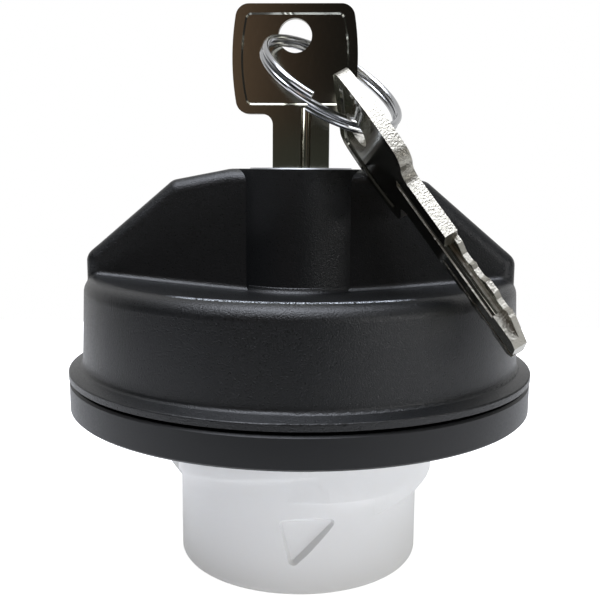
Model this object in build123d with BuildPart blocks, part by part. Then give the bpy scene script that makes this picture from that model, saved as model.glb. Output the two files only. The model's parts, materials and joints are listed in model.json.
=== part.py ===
from build123d import *
import os
from math import cos, radians, sin

os.makedirs("parts", exist_ok=True)

# Locking fuel filler cap, standing on the flat end of its white insert.
# Millimetres. Z runs up the cap's axis, the grip wing lies along X and -Y is the front.
# Everything sits in one frame: z = 0 is the insert's flat bottom.

# --- running gaps -----------------------------------------------------------------------
body_gap = 0.3  # between pieces that move past each other
slide_gap = 0.1  # between a sliding piece and its guide
shaft_gap = 0.06  # radial, between a turning shaft and its bore
spring_wire_sides = 6  # flats round the wire of a hidden spring
ring_wire_sides = 16  # flats round the wire of the split ring
corner_margin = 0.01  # how near to its place a corner is picked out for a round

# --- insert, the white body that goes down the filler neck ------------------------------
insert_length = 27.9  # bottom face to the grip's underside
insert_tip_r = 21.2
insert_top_r = 21.5
insert_edge_r = 1.2  # round on the bottom edge
insert_wall = 2.3
insert_floor = 2.4
vent_count = 6
vent_r = 1.5
vent_circle_r = 14.0

seal_flange_thick = 2.5
seal_flange_lift = 2.2  # above the grip's underside

crown_inner_r = 26.8
crown_outer_r = 29.2
crown_height = 6.6
crown_tooth_count = 24
crown_tooth_depth = 1.3
crown_land_deg = 2.1  # flat top of each tooth

# The two quarter-turn cams that pull the cap down on its seal.
cam_start_deg = -94.0
cam_end_deg = 2.0
cam_reach = 2.3  # how far a cam stands proud at its end
cam_underside_z = 16.0
cam_top_z = 24.4
ramp_start_deg = -52.0
ramp_low_z = 12.2
collar_r = 21.8
collar_low_z = 16.9
collar_tilt_deg = 10.0
collar_high_side_deg = -57.0

# Triangular moulded pocket with sloping sides, one below each cam: (bearing, height) of corners.
pocket_bearing_deg = -83.0
pocket_corners = ((-98.2, 13.5), (-65.5, 13.6), (-91.4, 3.9))
pocket_depth = 1.0
pocket_corner_r = 1.2
pocket_draft_deg = 36.0

# --- neck gasket ------------------------------------------------------------------------
gasket_margin = 3.8  # flange edge to the gasket's edge
gasket_thick = 3.0

# --- pressure and vacuum valves ----------------------------------------------------------
valve_seat_inner_r = 7.4
valve_seat_outer_r = 9.2
valve_seat_top_z = 6.2
pressure_disc_r = 10.4
pressure_disc_thick = 1.8
pressure_hub_r = 4.6
pressure_hub_height = 2.2
pressure_spring_r = 7.2
pressure_spring_wire = 0.9
pressure_spring_turns = 4
vacuum_stem_r = 1.3
vacuum_head_r = 3.6
vacuum_head_thick = 1.4
vacuum_collar_r = 3.2
vacuum_collar_thick = 1.0
vacuum_stem_top_z = 16.4
vacuum_spring_r = 2.1
vacuum_spring_wire = 0.45
vacuum_spring_turns = 4
flow_port_r = 0.6
flow_port_circle_r = 2.5
flow_port_count = 3
cover_z = 20.2
cover_thick = 1.6
cover_tube_r = 5.6
cover_tube_wall = 1.2
cover_tube_drop = 3.0
cover_vent_r = 1.2
cover_ledge = 0.8

# --- base ring, the flat ring under the grip ---------------------------------------------
base_ring_r = 40.0
base_ring_height = 5.1
base_ring_skirt = 5.8  # width of the ring outside the insert's flange
base_ring_lip_gap = 0.8  # radial, round the gasket
base_ring_lip_height = 1.9
base_ring_chamfer = 0.35
spigot_wall = 1.4
spigot_height = 5.8
snap_bead = 0.3
snap_drop = 1.4  # bead below the spigot's top

# --- grip shell ---------------------------------------------------------------------------
shell_lift = 5.7  # underside of the shell's lip above the base ring's underside
lip_overhang = 0.1  # beyond the base ring
lip_ledge = 2.35  # width of the lip outside the wall's foot
lip_height = 1.05
lip_slope_height = 0.85
lip_blend_r = 0.8
wall_draft = 0.65
shoulder_r = 2.6
dish_depth = 2.5  # rim above the dish round the boss
dish_over_tube = 3.2  # dish round the boss above the lock case's flange
shell_wall = 2.3

boss_r = 12.0
boss_height = 40.4  # flat top of the boss above the base ring's underside
wing_half_width = 8.3
wing_end_setback = 0.35  # inside the wall's top
wing_end_rise = 2.7  # above the rim
wing_slope_run = 15.55  # plan length of the steep end slope
wing_corner_drop = 1.9  # below the boss's flat top
wing_shoulder_run = 9.6  # plan length of the gentle slope inside it
wing_edge_r = 2.3
wing_end_r = 2.6
wing_foot_r = 0.9
wing_rib_thick = 1.5
wing_rib_xs = (18.5, 26.5)

screw_boss_r = 3.0
screw_circle_r = 18.5
screw_count = 4
screw_pilot_r = 1.2
screw_pilot_depth = 4.4

# --- lock -----------------------------------------------------------------------------------
case_r = 9.0
case_rim_proud = 0.2
case_edge = 0.3
case_flange_r = 11.2
case_flange_thick = 1.6
case_floor = 2.2
plug_r = 6.5
plug_face_drop = 0.3
plug_floor_gap = 0.2
tail_r = 4.0
tail_square = 4.4
clip_r = 6.3
clip_thick = 0.8
clip_groove_depth = 0.8
wafer_count = 5
wafer_thick = 1.1
wafer_pitch = 2.7
wafer_half_width = 2.7
wafer_reach = 6.2
wafer_gap = 0.1
wafer_lug_width = 1.4
wafer_lug_reach = 4.3
wafer_spring_r = 0.5
wafer_spring_wire = 0.22
wafer_spring_turns = 3
locking_groove_depth = 0.7

# --- freewheel drive below the lock -----------------------------------------------------------
lock_cam_r = 9.4
lock_cam_thick = 2.5
cam_groove_depth = 2.0
cam_groove_gap = 0.2
cam_screw_head_r = 3.0
cam_screw_head_thick = 1.5
cam_screw_r = 1.25
cam_screw_length = 4.5
bolt_width = 3.8
bolt_height = 2.7
bolt_inner_x = 3.4
bolt_outer_x = 12.7
bolt_nose_r = 1.2
pin_r = 0.9
pin_height = 2.2
pin_start_r = 4.5
pin_travel = 3.0
carrier_hub_r = 12.4
carrier_floor = 1.2
carrier_flange_r = 22.0
carrier_flange_thick = 2.1
carrier_window_r = 9.7
carrier_collar_r = 11.9
carrier_hub_lift = 2.0  # hub's underside above the seal flange
clutch_bore_r = 13.2
clutch_notch_r = 16.4
clutch_notch_width = 4.4
clutch_notch_count = 12
clutch_body_r = 21.5
clutch_height = 6.5
pawl_count = 6
pawl_root_deg = 4.0
pawl_thick = 1.3
pawl_clearance = 1.3
screw_head_r = 2.6
screw_head_height = 1.5
screw_socket_depth = 0.9

# --- keys ---------------------------------------------------------------------------------------
key_thick = 2.0
key_head_width = 21.3
key_head_top_width = 19.4
key_head_above_hole = 5.2
key_head_below_hole = 13.0
key_head_corner_r = 2.3
key_neck_r = 1.8
key_hole_r = 2.85
key_head_offset = 1.1  # hole's axis to the shank's middle, across the key
key_panel_depth = 0.3
key_panel_inset = 1.5
key_shank_width = 9.7
key_shoulder = 24.3  # hole to the shoulder
key_blade_length = 17.2
key_blade_step = 1.15  # the blade is narrower than the shank on the cut side
key_shelf_width = 2.8  # thinned land along the cut edge
key_shelf_depth = 1.2
key_groove_r = 0.85
key_groove_depth = 0.55
key_groove_offset = 0.8
key_groove_start = 11.9  # hole to the upper end of the shank's groove
key_rib_groove_width = 0.8
key_rib_groove_offset = -3.1
key_cut_flat = 1.5
key_first_cut = 3.4  # shoulder to the middle of the first cut
key_cut_depths = (1.3, 1.2, 0.1, 0.8, 0.5)
key_back_cut_depths = (0.1, 0.6, 0.1, 0.7, 0.1)
key_tip_length = 3.8
key_tip_chamfer = 1.0
key_seat_height = 22.3  # hole's axis above the boss's flat top, with the key home

# --- split ring and where it hangs -------------------------------------------------------------
ring_r = 12.26
ring_wire = 1.05
ring_pitch = 1.1
ring_turns = 2
ring_centre_side = 5.256
ring_centre_front = 7.301
ring_centre_drop = 8.424  # below the inserted key's hole
ring_axis = Vector(0.452, -0.389, 0.802).normalized()
ring_end_side = Vector(-0.261, -0.918, -0.298)  # where the coil's two ends lie

# --- spare key, hanging on the ring and lying against the shell ----------------------------------
spare_hole_side = 9.77
spare_hole_front = 16.65
spare_hole_drop = 15.9  # below the inserted key's hole
spare_rim_gap = 4.3793  # shank's middle to the rim that it hangs over
spare_rim_bearing_deg = -48.8006
spare_across = Vector(-0.072, -0.877, 0.475)

# --- sizes and heights worked out from those above ------------------------------------------------------
seal_flange_r = base_ring_r - base_ring_skirt
gasket_outer_r = seal_flange_r - gasket_margin
base_ring_lip_r = gasket_outer_r + base_ring_lip_gap
lip_r = base_ring_r + lip_overhang
wall_low_r = lip_r - lip_ledge
wall_high_r = wall_low_r - wall_draft
wing_end_x = wall_high_r - wing_end_setback
wing_corner_x = wing_end_x - wing_slope_run
wing_flat_x = wing_corner_x - wing_shoulder_run
ring_base_z = insert_length
ring_top_z = ring_base_z + base_ring_height
shell_base_z = ring_base_z + shell_lift
boss_top_z = ring_base_z + boss_height
wing_corner_z = boss_top_z - wing_corner_drop
seal_z = ring_base_z + seal_flange_lift
seal_top_z = seal_z + seal_flange_thick
bore_r = insert_tip_r - insert_wall
spigot_r = seal_flange_r + body_gap + spigot_wall
spigot_top_z = ring_top_z + spigot_height
socket_r = spigot_r + slide_gap
cavity_r = wall_high_r - shell_wall
clutch_base_z = seal_top_z
clutch_top_z = clutch_base_z + clutch_height
carrier_hub_base_z = seal_top_z + carrier_hub_lift
bolt_base_z = carrier_hub_base_z + carrier_floor + slide_gap
bolt_top_z = bolt_base_z + bolt_height
cam_base_z = bolt_top_z + 2 * body_gap
cam_top = cam_base_z + lock_cam_thick
carrier_z = clutch_top_z + 2 * body_gap
carrier_top_z = carrier_z + carrier_flange_thick
clip_z = cam_top + 2 * body_gap
case_base_z = clip_z + clip_thick + slide_gap
case_inner_z = case_base_z + case_floor
tube_base_z = case_base_z + case_flange_thick
dish_centre_z = tube_base_z + dish_over_tube
rim_z = dish_centre_z + dish_depth
wing_end_z = rim_z + wing_end_rise
case_top_z = boss_top_z + case_rim_proud
plug_base_z = case_inner_z + plug_floor_gap
plug_top_z = case_top_z - plug_face_drop
key_hole_z = boss_top_z + key_seat_height
key_tip_z = key_hole_z - key_shoulder - key_blade_length
ring_centre = Vector(ring_centre_side, -ring_centre_front, key_hole_z - ring_centre_drop)
spare_hole = Vector(spare_hole_side, -spare_hole_front, key_hole_z - spare_hole_drop)
dish_slope = (rim_z - dish_centre_z) / (wall_high_r - shoulder_r / 2 - boss_r)


def polar(radius, bearing_deg):
    """A point in plan at a radius and a bearing from +X."""
    return (radius * cos(radians(bearing_deg)), radius * sin(radians(bearing_deg)))


def dish_height(radius):
    """Height of the grip's dished top at a radius from the axis."""
    return dish_centre_z + dish_slope * (radius - boss_r)


def coil(plane, radius, wire, rise, turns, wire_sides):
    """Coil of flat-sided wire: it starts on the plane's x axis and climbs along its normal."""
    with BuildPart() as upright:
        with BuildLine():
            Helix(pitch=rise / turns, height=rise, radius=radius)
        with BuildSketch(Plane((radius, 0, 0), x_dir=(1, 0, 0), z_dir=(0, 1, 0))):
            RegularPolygon(wire / 2, wire_sides)
        sweep(is_frenet=True)
    with BuildPart() as placed:
        add(upright.part.moved(plane.location))
    return placed


def finish(piece, name):
    """Label a finished piece and write it out."""
    piece.part.label = name
    export_step(piece.part, f"parts/{name}.step")


# ============================ insert side: does not turn with the grip ==========================
def cam_outline(start_deg, end_deg):
    """Plan of a cam that grows from flush with the insert to its full reach."""
    middle_deg = (start_deg + end_deg) / 2
    root_r = insert_tip_r - insert_wall / 2
    start = polar(insert_tip_r, start_deg)
    middle = polar(insert_top_r + cam_reach * 0.62, middle_deg)
    end = polar(insert_top_r + cam_reach, end_deg)
    with BuildSketch() as outline:
        with BuildLine():
            ThreePointArc(start, middle, end)
            Line(end, polar(root_r, end_deg))
            ThreePointArc(polar(root_r, end_deg), polar(root_r, middle_deg), polar(root_r, start_deg))
            Line(polar(root_r, start_deg), start)
        make_face()
    return outline.sketch


def make_cam():
    """Quarter-turn cam: a flat-bottomed wedge with a coned ramp under its high end."""
    with BuildPart() as ramp:
        with BuildSketch(Plane.XY.offset(ramp_low_z)):
            add(cam_outline(ramp_start_deg, cam_end_deg))
        extrude(amount=cam_underside_z - ramp_low_z)
        with BuildSketch(Plane.XZ):
            with BuildLine():
                Polyline(
                    (0, ramp_low_z),
                    (insert_tip_r - slide_gap, ramp_low_z),
                    (insert_top_r + cam_reach + slide_gap, cam_underside_z),
                    (0, cam_underside_z),
                    close=True,
                )
            make_face()
        revolve(axis=Axis.Z, mode=Mode.INTERSECT)
    with BuildPart() as cam:
        with BuildSketch(Plane.XY.offset(cam_underside_z)):
            add(cam_outline(cam_start_deg, cam_end_deg))
        extrude(amount=cam_top_z - cam_underside_z)
        add(ramp.part)
    return cam.part


def make_collar():
    """Slightly proud band under the seal flange, with a sloping lower edge."""
    low_edge = Plane(
        origin=(0, 0, collar_low_z),
        x_dir=(*polar(cos(radians(collar_tilt_deg)), collar_high_side_deg), sin(radians(collar_tilt_deg))),
        z_dir=(*polar(-sin(radians(collar_tilt_deg)), collar_high_side_deg), cos(radians(collar_tilt_deg))),
    )
    with BuildPart() as collar:
        with BuildSketch(Plane.XY.offset(insert_floor)):
            Circle(collar_r)
            Circle(insert_tip_r - insert_wall / 2, mode=Mode.SUBTRACT)
        extrude(amount=seal_z - gasket_thick - body_gap - insert_floor)
        split(bisect_by=low_edge, keep=Keep.TOP)
    return collar.part


def pocket_plane(distance):
    """Plane facing out of the insert's wall at the pocket's bearing."""
    return Plane(
        origin=(*polar(distance, pocket_bearing_deg), 0),
        x_dir=(*polar(1, pocket_bearing_deg + 90), 0),
        z_dir=(*polar(1, pocket_bearing_deg), 0),
    )


with BuildPart() as pocket:
    with BuildSketch(pocket_plane(insert_tip_r + body_gap)):
        with BuildLine():
            Polyline(
                [
                    (insert_tip_r * sin(radians(bearing - pocket_bearing_deg)), height)
                    for bearing, height in pocket_corners
                ],
                close=True,
            )
        make_face()
        fillet(vertices(), pocket_corner_r)
    extrude(amount=-pocket_depth - body_gap, taper=pocket_draft_deg)

# Space between two of the crown's saw teeth.
with BuildSketch() as saw_valley:
    with BuildLine():
        tooth_deg = 360 / crown_tooth_count
        tooth_tip_r = crown_inner_r - crown_tooth_depth
        Polyline(
            polar(tooth_tip_r - crown_tooth_depth, crown_land_deg),
            polar(tooth_tip_r, crown_land_deg),
            polar(crown_inner_r, tooth_deg),
            polar(tooth_tip_r - crown_tooth_depth, tooth_deg),
            close=True,
        )
    make_face()

with BuildPart() as closure_body:
    with BuildSketch(Plane.XZ):
        with BuildLine():
            Polyline(
                (0, 0),
                (insert_tip_r, 0),
                (insert_tip_r, ramp_low_z),
                (insert_top_r, seal_z),
                (seal_flange_r, seal_z),
                (seal_flange_r, seal_top_z),
                (crown_outer_r, seal_top_z),
                (crown_outer_r, seal_top_z + crown_height),
                (crown_inner_r - crown_tooth_depth, seal_top_z + crown_height),
                (crown_inner_r - crown_tooth_depth, seal_top_z),
                (bore_r + cover_ledge, seal_top_z),
                (bore_r + cover_ledge, cover_z),
                (bore_r, cover_z),
                (bore_r, insert_floor),
                (valve_seat_outer_r, insert_floor),
                (valve_seat_outer_r, valve_seat_top_z),
                (valve_seat_inner_r, valve_seat_top_z),
                (valve_seat_inner_r, insert_floor),
                (0, insert_floor),
                close=True,
            )
        make_face()
    revolve(axis=Axis.Z)
    fillet(edges().filter_by(GeomType.CIRCLE).group_by(Axis.Z)[0], insert_edge_r)
    # Saw teeth inside the crown, for the clutch's spring arms to click past.
    with BuildSketch(Plane.XY.offset(seal_top_z)):
        with PolarLocations(0, crown_tooth_count):
            add(saw_valley.sketch)
    extrude(amount=crown_height, mode=Mode.SUBTRACT)
    # Cams, collar and pockets, the same on both sides.
    quarter_cam = make_cam()
    add(quarter_cam)
    add(quarter_cam.rotate(Axis.Z, 180))
    add(make_collar())
    add(pocket.part, mode=Mode.SUBTRACT)
    add(pocket.part.rotate(Axis.Z, 180), mode=Mode.SUBTRACT)
    # Ports in the floor that let tank pressure reach the valve.
    with BuildSketch(Plane.XY):
        with PolarLocations(vent_circle_r, vent_count):
            Circle(vent_r)
        with PolarLocations(valve_seat_inner_r / 2 + vent_r / 2, vent_count):
            Circle(vent_r / 2)
    extrude(amount=insert_floor, mode=Mode.SUBTRACT)
finish(closure_body, "closure_body")

with BuildPart() as neck_gasket:
    with BuildSketch(Plane.XY.offset(seal_z)):
        Circle(gasket_outer_r)
        Circle(insert_top_r + slide_gap, mode=Mode.SUBTRACT)
    extrude(amount=-gasket_thick)
    fillet(edges().filter_by(GeomType.CIRCLE).group_by(Axis.Z)[0], gasket_thick / 5)
finish(neck_gasket, "neck_gasket")

with BuildPart() as pressure_valve:
    disc_z = valve_seat_top_z
    with BuildSketch(Plane.XY.offset(disc_z)):
        Circle(pressure_disc_r)
    extrude(amount=pressure_disc_thick)
    with BuildSketch(Plane.XY.offset(disc_z + pressure_disc_thick)):
        Circle(pressure_hub_r)
    extrude(amount=pressure_hub_height)
    with BuildSketch(Plane.XY.offset(disc_z)):
        Circle(vacuum_stem_r + shaft_gap)
        with PolarLocations(flow_port_circle_r, flow_port_count):
            Circle(flow_port_r)
    extrude(amount=pressure_disc_thick + pressure_hub_height, mode=Mode.SUBTRACT)
    chamfer(edges().filter_by(GeomType.CIRCLE).group_by(Axis.Z)[0].sort_by(SortBy.RADIUS)[-1], body_gap)
finish(pressure_valve, "pressure_valve")

spring_seat_z = valve_seat_top_z + pressure_disc_thick
pressure_spring = coil(
    Plane.XY.offset(spring_seat_z + pressure_spring_wire / 2),
    pressure_spring_r,
    pressure_spring_wire,
    cover_z - spring_seat_z - pressure_spring_wire,
    pressure_spring_turns,
    spring_wire_sides,
)
finish(pressure_spring, "pressure_spring")

with BuildPart() as vacuum_valve:
    with BuildSketch(Plane.XZ):
        head_top_z = valve_seat_top_z - slide_gap
        collar_z = vacuum_stem_top_z - vacuum_collar_thick
        with BuildLine():
            Polyline(
                (0, head_top_z - vacuum_head_thick),
                (vacuum_head_r, head_top_z - vacuum_head_thick),
                (vacuum_head_r, head_top_z),
                (vacuum_stem_r, head_top_z),
                (vacuum_stem_r, collar_z),
                (vacuum_collar_r, collar_z),
                (vacuum_collar_r, vacuum_stem_top_z),
                (0, vacuum_stem_top_z),
                close=True,
            )
        make_face()
    revolve(axis=Axis.Z)
finish(vacuum_valve, "vacuum_valve")

vacuum_spring_z = spring_seat_z + pressure_hub_height
vacuum_spring = coil(
    Plane.XY.offset(vacuum_spring_z + vacuum_spring_wire / 2),
    vacuum_spring_r,
    vacuum_spring_wire,
    vacuum_stem_top_z - vacuum_collar_thick - vacuum_spring_z - vacuum_spring_wire,
    vacuum_spring_turns,
    spring_wire_sides,
)
finish(vacuum_spring, "vacuum_spring")

with BuildPart() as valve_cover:
    with BuildSketch(Plane.XY.offset(cover_z)):
        Circle(bore_r + cover_ledge - slide_gap)
    extrude(amount=cover_thick)
    with BuildSketch(Plane.XY.offset(cover_z)):
        Circle(cover_tube_r)
        Circle(cover_tube_r - cover_tube_wall, mode=Mode.SUBTRACT)
    extrude(amount=-cover_tube_drop)
    with BuildSketch(Plane.XY.offset(cover_z)):
        with PolarLocations((cover_tube_r + bore_r) / 2, vent_count):
            Circle(cover_vent_r)
    extrude(amount=cover_thick, mode=Mode.SUBTRACT)
finish(valve_cover, "valve_cover")

# Spring arm that reaches out from the clutch ring into the crown's saw teeth.
pawl_inner_r = clutch_body_r + pawl_clearance
pawl_outer_r = pawl_inner_r + pawl_thick
pawl_root_r = clutch_body_r - pawl_thick
pawl_tip_r = crown_inner_r - body_gap - slide_gap
pawl_tip_deg = 2 * 360 / crown_tooth_count - 0.8
with BuildSketch() as pawl:
    with BuildLine():
        Polyline(polar(pawl_root_r, -pawl_root_deg), polar(pawl_outer_r, -pawl_root_deg))
        ThreePointArc(
            polar(pawl_outer_r, -pawl_root_deg),
            polar(pawl_outer_r, pawl_tip_deg / 2),
            polar(pawl_outer_r, pawl_tip_deg - 1.2),
        )
        Polyline(
            polar(pawl_outer_r, pawl_tip_deg - 1.2),
            polar(pawl_tip_r, pawl_tip_deg),
            polar(pawl_inner_r, pawl_tip_deg),
        )
        ThreePointArc(
            polar(pawl_inner_r, pawl_tip_deg),
            polar(pawl_inner_r, pawl_tip_deg / 2),
            polar(pawl_inner_r, 0),
        )
        Polyline(polar(pawl_inner_r, 0), polar(pawl_root_r, 0))
        Line(polar(pawl_root_r, 0), polar(pawl_root_r, -pawl_root_deg))
    make_face()

with BuildPart() as clutch_ring:
    with BuildSketch(Plane.XY.offset(clutch_base_z)):
        Circle(clutch_body_r)
        Circle(clutch_bore_r, mode=Mode.SUBTRACT)
        with PolarLocations(clutch_notch_r, clutch_notch_count):
            Rectangle(
                clutch_bore_r,
                clutch_notch_width,
                align=(Align.MAX, Align.CENTER),
                mode=Mode.SUBTRACT,
            )
        with PolarLocations(0, pawl_count):
            add(pawl.sketch)
    extrude(amount=clutch_height)
finish(clutch_ring, "clutch_ring")

# ============================ grip side: turns with the hand ====================================
with BuildPart() as base_ring:
    bead_z = spigot_top_z - snap_drop
    with BuildSketch(Plane.XZ):
        with BuildLine():
            Polyline(
                (base_ring_lip_r, ring_base_z),
                (base_ring_r, ring_base_z),
                (base_ring_r, ring_top_z),
                (spigot_r, ring_top_z),
                (spigot_r, bead_z - snap_bead),
                (spigot_r + snap_bead, bead_z),
                (spigot_r, bead_z + snap_bead),
                (spigot_r, spigot_top_z),
                (seal_flange_r + body_gap, spigot_top_z),
                (seal_flange_r + body_gap, ring_base_z + base_ring_lip_height),
                (base_ring_lip_r, ring_base_z + base_ring_lip_height),
                close=True,
            )
        make_face()
    revolve(axis=Axis.Z)
    outer_edges = edges().filter_by(GeomType.CIRCLE).sort_by(SortBy.RADIUS)[-2:]
    chamfer(outer_edges, base_ring_chamfer)
finish(base_ring, "base_ring")


def wing_outline(inset):
    """The wing seen from the front, or the hollow inside it when inset by a wall."""
    slope_inset = inset * 1.25
    with BuildSketch() as outline:
        with BuildLine():
            Polyline(
                (-wing_end_x + inset, dish_centre_z - shell_wall),
                (wing_end_x - inset, dish_centre_z - shell_wall),
                (wing_end_x - inset, wing_end_z - slope_inset / 2),
                (wing_corner_x - inset / 2, wing_corner_z - slope_inset),
                (wing_flat_x, boss_top_z - inset),
                (-wing_flat_x, boss_top_z - inset),
                (-wing_corner_x + inset / 2, wing_corner_z - slope_inset),
                (-wing_end_x + inset, wing_end_z - slope_inset / 2),
                close=True,
            )
        make_face()
        fillet(vertices().group_by(Axis.X)[0].sort_by(Axis.Y)[-1:], wing_end_r)
        fillet(vertices().group_by(Axis.X)[-1].sort_by(Axis.Y)[-1:], wing_end_r)
    return outline.sketch


with BuildPart() as wing:
    with BuildSketch(Plane.XZ):
        add(wing_outline(0))
    extrude(amount=2 * wing_half_width, both=True)
    with BuildSketch(Plane.XY.offset(dish_centre_z - shell_wall)):
        Rectangle(2 * lip_r, 2 * wing_half_width)
        Circle(wing_end_x, mode=Mode.INTERSECT)
        fillet(vertices(), wing_edge_r)
    extrude(amount=boss_top_z - dish_centre_z + shell_wall, mode=Mode.INTERSECT)
    upper = edges().filter_by(lambda edge: edge.bounding_box().min.Z > rim_z)
    fillet(upper, wing_edge_r - slide_gap)

# Hollow inside the wing, open downwards.
with BuildPart() as wing_hollow:
    with BuildSketch(Plane.XZ):
        add(wing_outline(shell_wall))
    extrude(amount=wing_half_width - shell_wall, both=True)
    with BuildSketch(Plane.XY.offset(dish_centre_z - shell_wall)):
        Circle(wing_end_x - shell_wall)
    extrude(amount=boss_top_z - dish_centre_z + shell_wall, mode=Mode.INTERSECT)
    with BuildSketch(Plane.XY.offset(dish_centre_z - shell_wall)):
        Circle(boss_r - body_gap)
    extrude(amount=boss_top_z - dish_centre_z + shell_wall, mode=Mode.SUBTRACT)

# Stiffening ribs across the wing's hollow.
with BuildPart() as wing_ribs:
    for rib_x in wing_rib_xs:
        for side in (-1, 1):
            with BuildSketch(Plane.XY.offset(dish_height(rib_x) - shell_wall)):
                with Locations((side * rib_x, 0)):
                    Rectangle(wing_rib_thick, 2 * wing_half_width - shell_wall)
            extrude(amount=boss_top_z - dish_centre_z)
    with BuildSketch(Plane.XZ):
        add(wing_outline(shell_wall / 2))
    extrude(amount=wing_half_width, both=True, mode=Mode.INTERSECT)

with BuildPart() as grip_shell:
    with BuildSketch(Plane.XZ):
        with BuildLine():
            Polyline(
                (0, shell_base_z),
                (lip_r, shell_base_z),
                (lip_r, shell_base_z + lip_height),
                (wall_low_r, shell_base_z + lip_height + lip_slope_height),
                (wall_high_r, dish_height(wall_high_r)),
                (0, dish_height(0)),
                close=True,
            )
        make_face()
        fillet(vertices().sort_by(Axis.X)[-2:].sort_by(Axis.Y)[-1:], lip_height / 4)
        for wall_end_r, round_r in ((wall_low_r, lip_blend_r), (wall_high_r, shoulder_r)):
            wall_end = vertices().filter_by_position(
                Axis.X, wall_end_r - corner_margin, wall_end_r + corner_margin
            )
            fillet(wall_end, round_r)
    revolve(axis=Axis.Z)
    add(wing.part)
    with BuildSketch(Plane.XY.offset(dish_centre_z - shell_wall)):
        Circle(boss_r)
    extrude(amount=boss_top_z - dish_centre_z + shell_wall)
    # Small round where the wing's sides stand on the dish.
    foot = edges().filter_by(lambda edge: edge.bounding_box().max.Z < rim_z and edge.length > boss_r)
    fillet(foot.filter_by(lambda edge: abs(abs(edge.center().Y) - wing_half_width) < slide_gap), wing_foot_r)
    # Hollow under the dished top, with the counterbore for the base ring's spigot.
    with BuildSketch(Plane.XZ):
        with BuildLine():
            bead_seat = spigot_top_z - snap_drop
            Polyline(
                (0, shell_base_z),
                (socket_r, shell_base_z),
                (socket_r, bead_seat - snap_bead - slide_gap),
                (socket_r + snap_bead, bead_seat),
                (socket_r, bead_seat + snap_bead + slide_gap),
                (socket_r, spigot_top_z + body_gap),
                (cavity_r, spigot_top_z + 2 * body_gap),
                (cavity_r, dish_height(cavity_r) - shell_wall),
                (0, dish_height(0) - shell_wall),
                close=True,
            )
        make_face()
    revolve(axis=Axis.Z, mode=Mode.SUBTRACT)
    add(wing_hollow.part, mode=Mode.SUBTRACT)
    add(wing_ribs.part)
    # Tube that holds the lock, and the four posts that the bolt carrier screws to.
    with BuildSketch(Plane.XY.offset(tube_base_z)):
        Circle(boss_r)
    extrude(amount=dish_centre_z - tube_base_z)
    with BuildSketch(Plane.XY.offset(carrier_top_z)):
        with PolarLocations(screw_circle_r, screw_count, start_angle=45):
            Circle(screw_boss_r)
    extrude(amount=dish_centre_z - carrier_top_z - shell_wall / 2)
    with BuildSketch(Plane.XY.offset(carrier_top_z)):
        with PolarLocations(screw_circle_r, screw_count, start_angle=45):
            Circle(screw_pilot_r)
    extrude(amount=screw_pilot_depth, mode=Mode.SUBTRACT)
    with BuildSketch(Plane.XY.offset(shell_base_z)):
        Circle(case_r + slide_gap)
    extrude(amount=boss_top_z - shell_base_z, mode=Mode.SUBTRACT)
finish(grip_shell, "grip_shell")

def wafer_z(index):
    """Mid-height of a wafer, counted down from the key's shoulder."""
    return key_hole_z - key_shoulder - key_first_cut - index * wafer_pitch


with BuildPart() as lock_case:
    with BuildSketch(Plane.XZ):
        with BuildLine():
            Polyline(
                (tail_r + shaft_gap, case_base_z),
                (case_flange_r, case_base_z),
                (case_flange_r, tube_base_z),
                (case_r, tube_base_z),
                (case_r, case_top_z),
                (plug_r + shaft_gap, case_top_z),
                (plug_r + shaft_gap, case_inner_z),
                (tail_r + shaft_gap, case_inner_z),
                close=True,
            )
        make_face()
    revolve(axis=Axis.Z)
    chamfer(edges().filter_by(GeomType.CIRCLE).group_by(Axis.Z)[-1], case_edge)
    # Grooves that the wafers stand in when the lock is shut.
    with BuildSketch(Plane.XY.offset(plug_base_z)):
        Rectangle(2 * (plug_r + locking_groove_depth), 2 * (wafer_half_width + wafer_gap))
    extrude(amount=wafer_z(0) + wafer_thick - plug_base_z, mode=Mode.SUBTRACT)
finish(lock_case, "lock_case")


blade_low_x = -key_shank_width / 2
blade_high_x = key_shank_width / 2 - key_blade_step
keyway_gap = 0.15
lug_x = 0.0
spring_pocket_x = -4.2

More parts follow.
